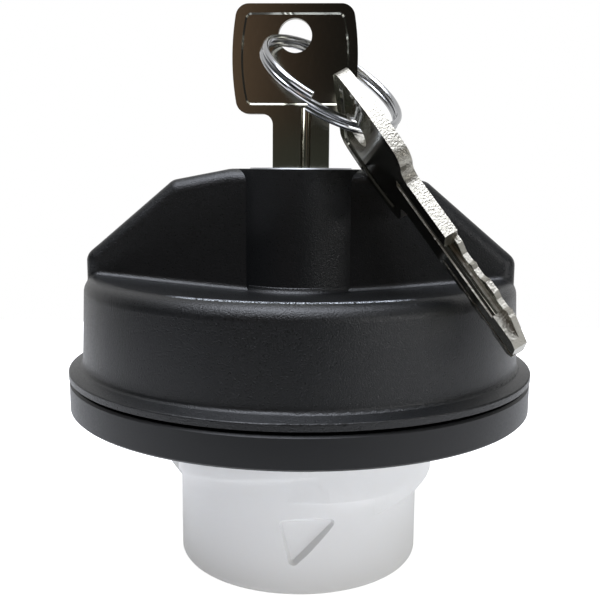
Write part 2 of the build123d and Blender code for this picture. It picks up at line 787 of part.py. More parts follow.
with BuildPart() as lock_plug:
    with BuildSketch(Plane.XY.offset(plug_base_z)):
        Circle(plug_r)
    extrude(amount=plug_top_z - plug_base_z)
    chamfer(edges().filter_by(GeomType.CIRCLE).group_by(Axis.Z)[-1], case_edge)
    with BuildSketch(Plane.XY.offset(clip_z - body_gap)):
        Circle(tail_r)
    extrude(amount=plug_base_z - clip_z + body_gap)
    with BuildSketch(Plane.XY.offset(clip_z - slide_gap / 2)):
        Circle(tail_r)
        Circle(tail_r - clip_groove_depth, mode=Mode.SUBTRACT)
    extrude(amount=clip_thick + slide_gap, mode=Mode.SUBTRACT)
    with BuildSketch(Plane.XY.offset(cam_base_z)):
        Rectangle(tail_square, tail_square)
    extrude(amount=clip_z - body_gap - cam_base_z)
    with BuildSketch(Plane.XY.offset(cam_base_z)):
        Circle(cam_screw_r)
    extrude(amount=cam_screw_length + slide_gap, mode=Mode.SUBTRACT)
    # Keyway: wide for the shank at the mouth, narrow for the blade below.
    with BuildSketch(Plane.XY.offset(key_tip_z - keyway_gap)):
        with Locations(((blade_low_x + blade_high_x) / 2, 0)):
            Rectangle(blade_high_x - blade_low_x + 2 * keyway_gap, key_thick + 2 * keyway_gap)
    extrude(amount=plug_top_z - key_tip_z + keyway_gap, mode=Mode.SUBTRACT)
    with BuildSketch(Plane.XY.offset(key_hole_z - key_shoulder - keyway_gap)):
        Rectangle(key_shank_width + 2 * keyway_gap, key_thick + 2 * keyway_gap)
    extrude(amount=plug_top_z, mode=Mode.SUBTRACT)
    # Cross slots for the wafers, each with a side pocket for its spring.
    for index in range(wafer_count):
        with BuildSketch(Plane.XY.offset(wafer_z(index) - wafer_thick / 2 - wafer_gap)):
            Rectangle(2 * plug_r, 2 * (wafer_half_width + wafer_gap))
            with Locations(((spring_pocket_x + lug_x + wafer_lug_width) / 2, wafer_half_width)):
                Rectangle(
                    lug_x + wafer_lug_width - spring_pocket_x + 2 * wafer_gap,
                    2 * (wafer_lug_reach - wafer_half_width + wafer_gap),
                )
        extrude(amount=wafer_thick + 2 * wafer_gap, mode=Mode.SUBTRACT)
finish(lock_plug, "lock_plug")

spring_y = (wafer_half_width + wafer_lug_reach) / 2
for index in range(wafer_count):
    with BuildPart() as wafer:
        with BuildSketch(Plane.XY.offset(wafer_z(index) - wafer_thick / 2)):
            Rectangle(2 * wafer_reach, 2 * wafer_half_width)
            Circle(plug_r - wafer_gap, mode=Mode.INTERSECT)
            with Locations((lug_x + wafer_lug_width / 2, wafer_half_width)):
                Rectangle(wafer_lug_width, 2 * (wafer_lug_reach - wafer_half_width))
            with Locations(((blade_low_x + blade_high_x) / 2, 0)):
                Rectangle(
                    blade_high_x - blade_low_x + 2 * keyway_gap,
                    key_thick + 2 * keyway_gap,
                    mode=Mode.SUBTRACT,
                )
        extrude(amount=wafer_thick)
    finish(wafer, f"wafer_{index + 1}")
    spring_plane = Plane(
        origin=(spring_pocket_x + wafer_spring_wire / 2, spring_y, wafer_z(index)),
        x_dir=(0, 0, 1),
        z_dir=(1, 0, 0),
    )
    wafer_spring = coil(
        spring_plane,
        wafer_spring_r - wafer_spring_wire / 2,
        wafer_spring_wire,
        lug_x - spring_pocket_x - wafer_spring_wire,
        wafer_spring_turns,
        spring_wire_sides,
    )
    finish(wafer_spring, f"wafer_spring_{index + 1}")

with BuildPart() as plug_clip:
    with BuildSketch(Plane.XY.offset(clip_z)):
        Circle(clip_r)
        Circle(tail_r - clip_groove_depth + slide_gap, mode=Mode.SUBTRACT)
        with Locations((0, -clip_r)):
            Rectangle(tail_r + clip_groove_depth, 2 * clip_r, mode=Mode.SUBTRACT)
    extrude(amount=clip_thick)
finish(plug_clip, "plug_clip")

with BuildPart() as lock_cam:
    with BuildSketch(Plane.XY.offset(cam_base_z)):
        Circle(lock_cam_r)
        Rectangle(tail_square + slide_gap, tail_square + slide_gap, mode=Mode.SUBTRACT)
    extrude(amount=lock_cam_thick)
    # Two spiral grooves: a quarter turn moves each drive bolt out by its travel.
    with BuildSketch(Plane.XY.offset(cam_base_z)):
        for start_deg in (0, 180):
            with BuildLine(mode=Mode.PRIVATE) as groove_path:
                ThreePointArc(
                    polar(pin_start_r, start_deg),
                    polar(pin_start_r + pin_travel / 2, start_deg + 45),
                    polar(pin_start_r + pin_travel, start_deg + 90),
                )
            SlotArc(arc=groove_path.edge(), height=2 * (pin_r + cam_groove_gap))
    extrude(amount=cam_groove_depth + slide_gap, mode=Mode.SUBTRACT)
finish(lock_cam, "lock_cam")

with BuildPart() as cam_screw:
    with BuildSketch(Plane.XY.offset(cam_base_z)):
        Circle(cam_screw_head_r)
    extrude(amount=-cam_screw_head_thick)
    with BuildSketch(Plane.XY.offset(cam_base_z - cam_screw_head_thick)):
        SlotCenterToCenter(cam_screw_head_r, cam_screw_r / 2)
        SlotCenterToCenter(cam_screw_head_r, cam_screw_r / 2, rotation=90)
    extrude(amount=cam_screw_head_thick / 2, mode=Mode.SUBTRACT)
    with BuildSketch(Plane.XY.offset(cam_base_z)):
        Circle(cam_screw_r)
    extrude(amount=cam_screw_length)
finish(cam_screw, "cam_screw")

for side, side_name in ((1, "right"), (-1, "left")):
    with BuildPart() as drive_bolt:
        with BuildSketch(Plane.XY.offset(bolt_base_z)):
            with Locations((side * (bolt_inner_x + bolt_outer_x) / 2, 0)):
                Rectangle(bolt_outer_x - bolt_inner_x, bolt_width)
            nose = vertices().sort_by(Axis.X)[-2:] if side > 0 else vertices().sort_by(Axis.X)[:2]
            fillet(nose, bolt_nose_r)
        extrude(amount=bolt_height)
        with BuildSketch(Plane.XY.offset(bolt_top_z)):
            with Locations((side * pin_start_r, 0)):
                Circle(pin_r)
        extrude(amount=pin_height)
    finish(drive_bolt, f"drive_bolt_{side_name}")

with BuildPart() as bolt_carrier:
    with BuildSketch(Plane.XY.offset(carrier_hub_base_z)):
        Circle(carrier_hub_r)
    extrude(amount=carrier_z - carrier_hub_base_z)
    with BuildSketch(Plane.XY.offset(carrier_z)):
        Circle(carrier_flange_r)
    extrude(amount=carrier_flange_thick)
    with BuildSketch(Plane.XY.offset(carrier_top_z)):
        Circle(carrier_collar_r)
    extrude(amount=case_base_z - carrier_top_z)
    with BuildSketch(Plane.XY.offset(bolt_top_z + body_gap)):
        Circle(carrier_window_r)
    extrude(amount=case_base_z, mode=Mode.SUBTRACT)
    with BuildSketch(Plane.XY.offset(carrier_hub_base_z + carrier_floor)):
        Rectangle(2 * carrier_hub_r, bolt_width + 2 * slide_gap)
        Circle(cam_screw_head_r + body_gap)
    extrude(amount=bolt_top_z + body_gap - carrier_hub_base_z - carrier_floor, mode=Mode.SUBTRACT)
    with BuildSketch(Plane.XY.offset(carrier_z)):
        with PolarLocations(screw_circle_r, screw_count, start_angle=45):
            Circle(screw_pilot_r + slide_gap)
    extrude(amount=carrier_flange_thick, mode=Mode.SUBTRACT)
    with BuildSketch(Plane.XY.offset(carrier_z)):
        with PolarLocations(screw_circle_r, screw_count, start_angle=45):
            Circle(screw_head_r + slide_gap)
    extrude(amount=screw_head_height, taper=45, mode=Mode.SUBTRACT)
finish(bolt_carrier, "bolt_carrier")


with BuildPart() as carrier_screws:
    with BuildSketch(Plane.XY.offset(carrier_z)):
        with PolarLocations(screw_circle_r, screw_count, start_angle=45):
            Circle(screw_head_r)
    extrude(amount=screw_head_height, taper=45)
    with BuildSketch(Plane.XY.offset(carrier_z + screw_socket_depth)):
        with PolarLocations(screw_circle_r, screw_count, start_angle=45):
            Circle(screw_pilot_r)
    extrude(amount=carrier_flange_thick + screw_pilot_depth - screw_socket_depth)
    with BuildSketch(Plane.XY.offset(carrier_z)):
        with PolarLocations(screw_circle_r, screw_count, start_angle=45):
            SlotCenterToCenter(screw_head_r / 2, screw_socket_depth / 2)
            SlotCenterToCenter(screw_head_r / 2, screw_socket_depth / 2, rotation=90)
    extrude(amount=screw_socket_depth, mode=Mode.SUBTRACT)
finish(carrier_screws, "carrier_screws")


# ============================ keys and ring =======================================================
def key_head_outline(inset, corner_r):
    """Bow of the key, slightly barrelled at its sides."""
    half_top = key_head_top_width / 2 - inset
    half_wide = key_head_width / 2 - inset
    top_y = -key_head_above_hole + inset
    low_y = key_head_below_hole - inset
    middle_y = (top_y + low_y) / 2
    with BuildSketch() as outline:
        with BuildLine():
            Line((-half_top, top_y), (half_top, top_y))
            ThreePointArc((half_top, top_y), (half_wide, middle_y), (half_top, low_y))
            Line((half_top, low_y), (-half_top, low_y))
            ThreePointArc((-half_top, low_y), (-half_wide, middle_y), (-half_top, top_y))
        make_face()
        fillet(vertices(), corner_r)
    return outline.sketch


def bitting(edge_x, outward, depths):
    """Trapezoid cuts along one edge of the blade, one for each wafer."""
    run = key_cut_flat / 2
    with BuildSketch() as cuts:
        for index, depth in enumerate(depths):
            cut_y = key_shoulder + key_first_cut + index * wafer_pitch
            with BuildLine():
                Polyline(
                    (edge_x - outward * depth, cut_y - run),
                    (edge_x - outward * depth, cut_y + run),
                    (edge_x + outward * key_cut_flat, cut_y + run + depth + key_cut_flat),
                    (edge_x + outward * key_cut_flat, cut_y - run - depth - key_cut_flat),
                    close=True,
                )
            make_face()
    return cuts.sketch


def make_key(pose):
    """A flat key: pose is at its hole, x towards the cut edge, y towards the tip."""
    shank_x = key_head_offset
    tip_y = key_shoulder + key_blade_length
    blade_low = shank_x + blade_low_x
    blade_high = shank_x + blade_high_x
    face = -key_thick / 2
    with BuildPart() as key:
        with BuildSketch(pose.offset(face)):
            add(key_head_outline(0, key_head_corner_r))
            with BuildLine():
                Polyline(
                    (shank_x - key_shank_width / 2, 0),
                    (shank_x + key_shank_width / 2, 0),
                    (shank_x + key_shank_width / 2, key_shoulder),
                    (blade_high, key_shoulder),
                    (blade_high, tip_y - key_tip_length),
                    (blade_high - key_tip_length, tip_y),
                    (blade_low + key_tip_chamfer, tip_y),
                    (blade_low, tip_y - key_tip_chamfer),
                    close=True,
                )
            make_face()
            necks = [
                corner
                for corner in vertices()
                if abs(corner.Y - key_head_below_hole) < corner_margin
                and abs(abs(corner.X - shank_x) - key_shank_width / 2) < 0.01
            ]
            fillet(necks, key_neck_r)
            add(bitting(blade_high, 1, key_cut_depths), mode=Mode.SUBTRACT)
            add(bitting(blade_low, -1, key_back_cut_depths), mode=Mode.SUBTRACT)
            Circle(key_hole_r, mode=Mode.SUBTRACT)
        extrude(amount=key_thick)
        # Coined panel sunk into both sides of the bow.
        for level, into in ((face, 1), (-face, -1)):
            with BuildSketch(pose.offset(level)):
                add(key_head_outline(key_panel_inset, key_head_corner_r / 2))
            extrude(amount=into * key_panel_depth, taper=45, mode=Mode.SUBTRACT)
        # Milled shelf along the cut edge, and the two warding grooves.
        with BuildSketch(pose.offset(face)):
            with Locations((blade_high, key_shoulder)):
                Rectangle(2 * key_shelf_width, 2 * key_blade_length, align=(Align.CENTER, Align.MIN))
        extrude(amount=key_shelf_depth, mode=Mode.SUBTRACT)
        groove_end = pose.from_local_coords((shank_x + key_groove_offset, key_groove_start, face))
        with BuildSketch(Plane(origin=groove_end, x_dir=pose.x_dir, z_dir=pose.y_dir)):
            Circle(key_groove_r)
        extrude(amount=key_shoulder, mode=Mode.SUBTRACT)
        with BuildSketch(pose.offset(face)):
            with Locations((shank_x + key_rib_groove_offset, key_shoulder)):
                Rectangle(key_rib_groove_width, key_shoulder, align=(Align.CENTER, Align.MIN))
        extrude(amount=key_groove_depth, mode=Mode.SUBTRACT)
    return key


main_pose = Plane(origin=(-key_head_offset, 0, key_hole_z), x_dir=(1, 0, 0), z_dir=(0, 1, 0))
key = make_key(main_pose)
finish(key, "key")

spare_rim = Vector(*polar(wall_high_r + spare_rim_gap, spare_rim_bearing_deg), rim_z)
spare_along = (spare_rim - spare_hole).normalized()
spare_normal = spare_across.cross(spare_along).normalized()
spare_pose = Plane(origin=spare_hole, x_dir=spare_along.cross(spare_normal), z_dir=spare_normal)
spare_key = make_key(spare_pose)
finish(spare_key, "spare_key")

ring_plane = Plane(origin=ring_centre, x_dir=ring_end_side, z_dir=ring_axis)
ring_rise = ring_pitch * ring_turns
ring_start = ring_plane.offset(-ring_rise / 2)
split_ring = coil(ring_start, ring_r, ring_wire, ring_rise, ring_turns, ring_wire_sides)
finish(split_ring, "split_ring")
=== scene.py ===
import json
import math

import bpy
from mathutils import Matrix, Vector


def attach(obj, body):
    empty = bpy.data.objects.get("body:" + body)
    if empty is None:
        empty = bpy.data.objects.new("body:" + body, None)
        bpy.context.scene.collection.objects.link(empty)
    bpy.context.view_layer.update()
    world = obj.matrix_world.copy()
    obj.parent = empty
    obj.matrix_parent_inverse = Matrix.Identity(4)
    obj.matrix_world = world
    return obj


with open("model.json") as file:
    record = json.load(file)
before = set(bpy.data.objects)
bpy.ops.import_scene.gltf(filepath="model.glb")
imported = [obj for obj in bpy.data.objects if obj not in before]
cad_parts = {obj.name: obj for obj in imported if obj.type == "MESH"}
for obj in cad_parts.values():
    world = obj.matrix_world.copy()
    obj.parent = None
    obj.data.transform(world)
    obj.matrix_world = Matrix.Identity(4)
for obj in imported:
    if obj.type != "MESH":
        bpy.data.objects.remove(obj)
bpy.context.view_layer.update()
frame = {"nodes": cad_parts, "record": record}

# Locking fuel filler cap with its key in the lock and the spare on a split ring.
# Metres. The cap stands on its white insert, its axis is Z, and its front is -Y.

MM = 0.001

# Sockets of a Mix node, whose names repeat: the two it mixes and the mix, as colours or values.
COLOUR_A, COLOUR_B, COLOUR_OUT = 6, 7, 2
VALUE_A, VALUE_B, VALUE_OUT = 2, 3, 0
# Most of a noise's values lie between these.
NOISE_LOW, NOISE_HIGH = 0.3, 0.7


# --- helpers --------------------------------------------------------------------------------
def srgb(code):
    """Linear colour of a hex code written as a screen shows it."""
    parts = [int(code[i:i + 2], 16) / 255 for i in (0, 2, 4)]
    linear = [c / 12.92 if c <= 0.04045 else ((c + 0.055) / 1.055) ** 2.4 for c in parts]
    return (*linear, 1.0)


def add(tree, kind, links=(), **settings):
    """Add a node: settings are its properties or input values, links its (input, socket) pairs."""
    node = tree.nodes.new(kind)
    for name, value in settings.items():
        if hasattr(node, name):
            setattr(node, name, value)
        else:
            node.inputs[name.replace("_", " ")].default_value = value
    for entry, socket in links:
        tree.links.new(socket, node.inputs[entry])
    return node


def new_material(name, **values):
    """A material with its shader's values set: returns it, its tree, its shader and the piece's
    own coordinates, which every pattern reads."""
    material = bpy.data.materials.new(name)
    material.use_nodes = True
    tree = material.node_tree
    shader = tree.nodes["Principled BSDF"]
    for socket, value in values.items():
        shader.inputs[socket.replace("_", " ")].default_value = value
    place = add(tree, "ShaderNodeTexCoord").outputs["Object"]
    return material, tree, shader, place


# --- grip shell -----------------------------------------------------------------------------
GRAIN_SIZE = 0.22 * MM
GRAIN_HEIGHT = 0.07 * MM
FINE_GRAIN_SIZE = 0.11 * MM
FINE_GRAIN_HEIGHT = 0.02 * MM
SKIN_ROUGHNESS = (0.26, 0.44)  # on the grain's floor and on its peaks

# The rim between the wall and the dished top, where a highlight is painted onto the grain's peaks at
# the front and the back.
RIM_R = 34.9 * MM
RIM_Z = 50.35 * MM
RIM_HIGHLIGHT_WIDTH = 0.5 * MM
RIM_HIGHLIGHT_FULL_X = 14.0 * MM
RIM_HIGHLIGHT_END_X = 18.0 * MM
RIM_HIGHLIGHT_GRAIN = (0.45, 0.51)  # how far below the grain's highest points the painted highlight reaches
RIM_HIGHLIGHT_ROUGHNESS = 0.2


def spark_eroded_nylon():
    """Black glass-filled nylon, moulded in a spark-eroded tool: a fine leathery grain that breaks
    every highlight into small glints. A pale bluish grey highlight is painted onto the rim's grain
    peaks at the front and the back, and the skin there is made smoother."""
    black = "0d0e0f"
    painted_highlight_grey = "c9ced4"
    material, tree, shader, place = new_material("glass-filled nylon, spark-eroded", IOR=1.43)
    grain = add(tree, "ShaderNodeTexNoise", [("Vector", place)], Scale=1 / GRAIN_SIZE, Detail=2.0)
    fine = add(tree, "ShaderNodeTexNoise", [("Vector", place)], Scale=1 / FINE_GRAIN_SIZE)
    grain_bump = add(
        tree, "ShaderNodeBump", [("Height", grain.outputs["Fac"])], Strength=0.9, Distance=GRAIN_HEIGHT
    )
    fine_bump = add(
        tree,
        "ShaderNodeBump",
        [("Height", fine.outputs["Fac"]), ("Normal", grain_bump.outputs["Normal"])],
        Strength=0.35,
        Distance=FINE_GRAIN_HEIGHT,
    )
    tree.links.new(fine_bump.outputs["Normal"], shader.inputs["Normal"])
    skin = add(
        tree,
        "ShaderNodeMapRange",
        [("Value", grain.outputs["Fac"])],
        From_Min=NOISE_LOW,
        From_Max=NOISE_HIGH,
        To_Min=SKIN_ROUGHNESS[0],
        To_Max=SKIN_ROUGHNESS[1],
    )
    # Each line: a measure, its value where the painted highlight is, and how far off the highlight
    # fades and ends.
    parts = add(tree, "ShaderNodeSeparateXYZ", [("Vector", place)])
    plan = add(
        tree, "ShaderNodeCombineXYZ", [("X", parts.outputs["X"]), ("Y", parts.outputs["Y"])]
    )
    radius = add(tree, "ShaderNodeVectorMath", [(0, plan.outputs["Vector"])], operation="LENGTH")
    painted_highlight = None
    for socket, middle, full, none in (
        (radius.outputs["Value"], RIM_R, RIM_HIGHLIGHT_WIDTH / 2, RIM_HIGHLIGHT_WIDTH),
        (parts.outputs["Z"], RIM_Z, RIM_HIGHLIGHT_WIDTH / 2, RIM_HIGHLIGHT_WIDTH),
        (parts.outputs["X"], 0.0, RIM_HIGHLIGHT_FULL_X, RIM_HIGHLIGHT_END_X),
        (grain.outputs["Fac"], 1.0, *RIM_HIGHLIGHT_GRAIN),
    ):
        offset = add(tree, "ShaderNodeMath", [(0, socket)], operation="SUBTRACT")
        offset.inputs[1].default_value = middle
        apart = add(tree, "ShaderNodeMath", [(0, offset.outputs["Value"])], operation="ABSOLUTE")
        near = add(
            tree,
            "ShaderNodeMapRange",
            [("Value", apart.outputs["Value"])],
            From_Min=full,
            From_Max=none,
            To_Min=1.0,
            To_Max=0.0,
        )
        if painted_highlight is None:
            painted_highlight = near.outputs["Result"]
        else:
            both = add(
                tree, "ShaderNodeMath", [(0, painted_highlight), (1, near.outputs["Result"])], operation="MULTIPLY"
            )
            painted_highlight = both.outputs["Value"]
    # Painted highlight: pale bluish grey on the rim's crest stands in for the lamp's glint there.
    colour = add(tree, "ShaderNodeMix", [(0, painted_highlight)], data_type="RGBA")
    colour.inputs[COLOUR_A].default_value = srgb(black)
    colour.inputs[COLOUR_B].default_value = srgb(painted_highlight_grey)
    tree.links.new(colour.outputs[COLOUR_OUT], shader.inputs["Base Color"])
    # Inside the painted highlight's band the skin is also made smoother.
    highlight_roughness = add(
        tree,
        "ShaderNodeMapRange",
        [("Value", painted_highlight), ("To Min", skin.outputs["Result"])],
        To_Max=RIM_HIGHLIGHT_ROUGHNESS,
    )
    tree.links.new(highlight_roughness.outputs["Result"], shader.inputs["Roughness"])
    return material


# --- base ring ------------------------------------------------------------------------------
FLOW_WAVE_SIZE = 6.0 * MM
FLOW_WAVE_HEIGHT = 0.05 * MM
SATIN_SPECK_SIZE = 0.3 * MM
SATIN_SPECK_HEIGHT = 0.01 * MM
SATIN_ROUGHNESS = (0.36, 0.46)


def satin_acetal():
    """Black acetal copolymer from a stone-polished mould: a close satin sheen, faintly wavy."""
    material, tree, shader, place = new_material(
        "acetal copolymer, black satin", Base_Color=srgb("090a0b"), IOR=1.37
    )
    waves = add(tree, "ShaderNodeTexNoise", [("Vector", place)], Scale=1 / FLOW_WAVE_SIZE, Detail=4.0)
    specks = add(tree, "ShaderNodeTexNoise", [("Vector", place)], Scale=1 / SATIN_SPECK_SIZE)
    wave_bump = add(
        tree,
        "ShaderNodeBump",
        [("Height", waves.outputs["Fac"])],
        Strength=0.12,
        Distance=FLOW_WAVE_HEIGHT,
    )
    speck_bump = add(
        tree,
        "ShaderNodeBump",
        [("Height", specks.outputs["Fac"]), ("Normal", wave_bump.outputs["Normal"])],
        Strength=0.2,
        Distance=SATIN_SPECK_HEIGHT,
    )
    tree.links.new(speck_bump.outputs["Normal"], shader.inputs["Normal"])
    sheen = add(
        tree,
        "ShaderNodeMapRange",
        [("Value", specks.outputs["Fac"])],
        From_Min=NOISE_LOW,
        From_Max=NOISE_HIGH,
        To_Min=SATIN_ROUGHNESS[0],
        To_Max=SATIN_ROUGHNESS[1],
    )
    tree.links.new(sheen.outputs["Result"], shader.inputs["Roughness"])
    return material


# --- insert ---------------------------------------------------------------------------------
SINK_SIZE = 11.0 * MM
SINK_DEPTH = 0.08 * MM
MILKY_DEPTH = 1.5 * MM


def natural_acetal():
    """Natural acetal, moulded smooth: milky white that lets a little light in at its edges."""
    material, tree, shader, place = new_material(
        "acetal copolymer, natural",
        Base_Color=srgb("e6e6e5"),
        Roughness=0.36,
        IOR=1.48,
        Subsurface_Weight=0.35,
        Subsurface_Radius=(1.0, 0.95, 0.9),
        Subsurface_Scale=MILKY_DEPTH,
    )
    sink = add(tree, "ShaderNodeTexNoise", [("Vector", place)], Scale=1 / SINK_SIZE, Detail=3.0)
    bump = add(
        tree, "ShaderNodeBump", [("Height", sink.outputs["Fac"])], Strength=0.1, Distance=SINK_DEPTH
    )
    tree.links.new(bump.outputs["Normal"], shader.inputs["Normal"])
    return material


# --- other pieces ---------------------------------------------------------------------------
FLOW_MARK_SIZE = 4.0 * MM
BLOOM_SIZE = 5.0 * MM


def moulded_nylon():
    """Plain black nylon of the hidden carrier and valve disc: dull, with slight flow marks."""
    material, tree, shader, place = new_material("nylon, black moulded", Base_Color=srgb("1c1c1d"))
    flow = add(tree, "ShaderNodeTexNoise", [("Vector", place)], Scale=1 / FLOW_MARK_SIZE, Detail=3.0)
    level = add(tree, "ShaderNodeMapRange", [("Value", flow.outputs["Fac"])], To_Min=0.42, To_Max=0.6)
    tree.links.new(level.outputs["Result"], shader.inputs["Roughness"])
    return material


def nitrile_rubber():
    """Black nitrile rubber of the neck gasket: matt, with a bloom that greys it in patches."""
    material, tree, shader, place = new_material("nitrile rubber, moulded", Roughness=0.7)
    bloom = add(tree, "ShaderNodeTexNoise", [("Vector", place)], Scale=1 / BLOOM_SIZE, Detail=4.0)
    colour = add(tree, "ShaderNodeMix", [(0, bloom.outputs["Fac"])], data_type="RGBA")
    colour.inputs[COLOUR_A].default_value = srgb("121212")
    colour.inputs[COLOUR_B].default_value = srgb("1f1f20")
    tree.links.new(colour.outputs[COLOUR_OUT], shader.inputs["Base Color"])
    return material


def bare_metal(name, colour, roughness, size, height):
    """Metal with a fine grain of that size and height: it breaks up what the metal mirrors."""
    material, tree, shader, place = new_material(
        name, Base_Color=srgb(colour), Metallic=1.0, Roughness=roughness
    )
    texture = add(tree, "ShaderNodeTexNoise", [("Vector", place)], Scale=1 / size, Detail=4.0)
    bump = add(
        tree, "ShaderNodeBump", [("Height", texture.outputs["Fac"])], Strength=1.0, Distance=height
    )
    tree.links.new(bump.outputs["Normal"], shader.inputs["Normal"])
    return material


shell_finish = spark_eroded_nylon()
base_ring_finish = satin_acetal()
insert_finish = natural_acetal()
carrier_finish = moulded_nylon()
rubber_finish = nitrile_rubber()
# Bright nickel over brass, rolled flat: a dark mirror with a warm cast.
key_face_finish = bare_metal("nickel-plated brass, polished", "a8a699", 0.12, 1.1 * MM, 0.003 * MM)
# The same plate where it was sheared and milled: torn grain that glitters.
key_edge_finish = bare_metal("nickel-plated brass, sheared", "8f8c83", 0.3, 0.3 * MM, 0.12 * MM)
# Drawn and coiled wire: the brightest metal here, with long thin highlights.
ring_finish = bare_metal("spring steel wire, nickel-plated", "bcbdbf", 0.16, 0.8 * MM, 0.003 * MM)
# Cast and plated: softer highlights than the rolled plate.
zinc_finish = bare_metal("zinc die casting, plated", "8f9194", 0.38, 0.7 * MM, 0.006 * MM)
# Yellow and half bright, as it comes from the stamping press.
brass_finish = bare_metal("brass, stamped", "c8a45c", 0.3, 0.7 * MM, 0.003 * MM)
# Grey and half bright, from the drawing die.
spring_finish = bare_metal("spring steel, drawn", "8e9093", 0.3, 0.5 * MM, 0.002 * MM)
# Thin zinc over turned steel: a pale, slightly clouded grey.
screw_finish = bare_metal("steel, zinc-plated", "9a9c9f", 0.32, 0.7 * MM, 0.003 * MM)

FINISHES = {
    "acetal_white": insert_finish,
    "gasket_rubber": rubber_finish,
    "clutch_acetal": insert_finish,
    "shell_black": shell_finish,
    "ring_black": base_ring_finish,
    "carrier_black": carrier_finish,
    "lock_zinc": zinc_finish,
    "plug_zinc": zinc_finish,
    "wafer_brass": brass_finish,
    "spring_steel": spring_finish,
    "screw_steel": screw_finish,
    "bolt_steel": screw_finish,
    "valve_plastic": carrier_finish,
    "key_nickel": key_face_finish,
    "spare_nickel": key_face_finish,
    "ring_nickel": ring_finish,
}

for part in frame["record"]["subparts"]:
    materials = frame["nodes"][part["node"]].data.materials
    materials.clear()
    materials.append(FINISHES[part["material_slot"]])

# The keys' edges: faces that look along the plate, not out of it.
EDGE_LEAN = 0.3  # cosine between an edge's normal and the plate's, at most
for name in ("key", "spare_key"):
    mesh = frame["nodes"][name].data
    mesh.materials.append(key_edge_finish)
    plate_normal = max(mesh.polygons, key=lambda face: face.area).normal.copy()
    for face in mesh.polygons:
        if abs(face.normal.dot(plate_normal)) < EDGE_LEAN:
            face.material_index = 1


# --- moulded round at the foot of the boss ----------------------------------------------------
BOSS_R = 12.0 * MM
BOSS_FOOT_Z = 48.0 * MM
FOOT_ROUND = 1.1 * MM
FOOT_SINK = 0.05 * MM  # how far the round's legs reach into the boss and the dish
FOOT_SIDE = math.radians(43.0)  # half of the boss's side that stands free of the wing
SECTION_STEPS = 8
SWEEP_POINTS = 61


def arc_sweep():
    """Node group that sweeps a section, drawn as edges, along part of a circle."""
    tree = bpy.data.node_groups.new("arc sweep", "GeometryNodeTree")
    tree.interface.new_socket("Section", in_out="INPUT", socket_type="NodeSocketGeometry")
    for name in ("Radius", "Start", "Sweep"):
        tree.interface.new_socket(name, in_out="INPUT", socket_type="NodeSocketFloat")
    tree.interface.new_socket("Finish", in_out="INPUT", socket_type="NodeSocketMaterial")
    tree.interface.new_socket("Solid", in_out="OUTPUT", socket_type="NodeSocketGeometry")
    given = add(tree, "NodeGroupInput").outputs
    path = add(
        tree,
        "GeometryNodeCurveArc",
        [("Radius", given["Radius"]), ("Start Angle", given["Start"]), ("Sweep Angle", given["Sweep"])],
        mode="RADIUS",
        Resolution=SWEEP_POINTS,
    )
    section = add(tree, "GeometryNodeMeshToCurve", [("Mesh", given["Section"])])
    swept = add(
        tree,
        "GeometryNodeCurveToMesh",
        [("Curve", path.outputs["Curve"]), ("Profile Curve", section.outputs["Curve"])],
        Fill_Caps=True,
    )
    real = add(tree, "GeometryNodeRealizeInstances", [("Geometry", swept.outputs["Mesh"])])
    finished = add(
        tree,
        "GeometryNodeSetMaterial",
        [("Geometry", real.outputs["Geometry"]), ("Material", given["Finish"])],
    )
    add(tree, "NodeGroupOutput", [("Solid", finished.outputs["Geometry"])])
    return tree


def foot_section():
    """The round's section as (across, up) from the corner of boss and dish, anticlockwise."""
    corners = [(-FOOT_SINK, -FOOT_SINK), (FOOT_ROUND, -FOOT_SINK)]
    for step in range(SECTION_STEPS + 1):
        turn = math.pi / 2 * step / SECTION_STEPS
        corners.append((FOOT_ROUND * (1 - math.sin(turn)), FOOT_ROUND * (1 - math.cos(turn))))
    corners.append((-FOOT_SINK, FOOT_ROUND))
    return corners


def foot_round(name, tree, bearing):
    """Hollow round between the boss's wall and the dish, on the side at that bearing."""
    # The sweep lays a section's second axis downwards, so up is drawn as minus, and the order is
    # reversed to keep the faces outwards.
    corners = [(across, -up, 0) for across, up in reversed(foot_section())]
    count = len(corners)
    drawn = bpy.data.meshes.new(name + " section")
    drawn.from_pydata(corners, [(i, (i + 1) % count) for i in range(count)], [])
    piece = bpy.data.objects.new(name, drawn)
    bpy.context.scene.collection.objects.link(piece)
    modifier = piece.modifiers.new("sweep", "NODES")
    modifier.node_group = tree
    values = {"Radius": BOSS_R, "Start": bearing - FOOT_SIDE, "Sweep": 2 * FOOT_SIDE}
    values["Finish"] = shell_finish
    for item in tree.interface.items_tree:
        if item.name in values:
            modifier[item.identifier] = values[item.name]
    depsgraph = bpy.context.evaluated_depsgraph_get()
    solid = bpy.data.meshes.new_from_object(piece.evaluated_get(depsgraph), depsgraph=depsgraph)
    piece.modifiers.clear()
    piece.data = solid
    solid.transform(Matrix.Translation((0, 0, BOSS_FOOT_Z)))
    # The faces along the sweep have four corners, and the flat ends have more.
    for face in solid.polygons:
        face.use_smooth = len(face.vertices) == 4
    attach(piece, "grip")


sweep_tree = arc_sweep()
foot_round("boss_foot_front", sweep_tree, -math.pi / 2)
foot_round("boss_foot_back", sweep_tree, math.pi / 2)


# --- camera ---------------------------------------------------------------------------------
CAMERA_DISTANCE = 151.9 * MM  # from the cap's axis
CAMERA_HEIGHT = 69.0 * MM
CAMERA_SIDE = math.radians(2.6)
CAMERA_PITCH = 0.1548  # radians below level
CAMERA_ROLL = 0.0070  # radians
FOCAL_PIXELS = 865.1
PICTURE_PIXELS = 600
SENSOR_WIDTH = 36.0  # millimetres, as a lens is given

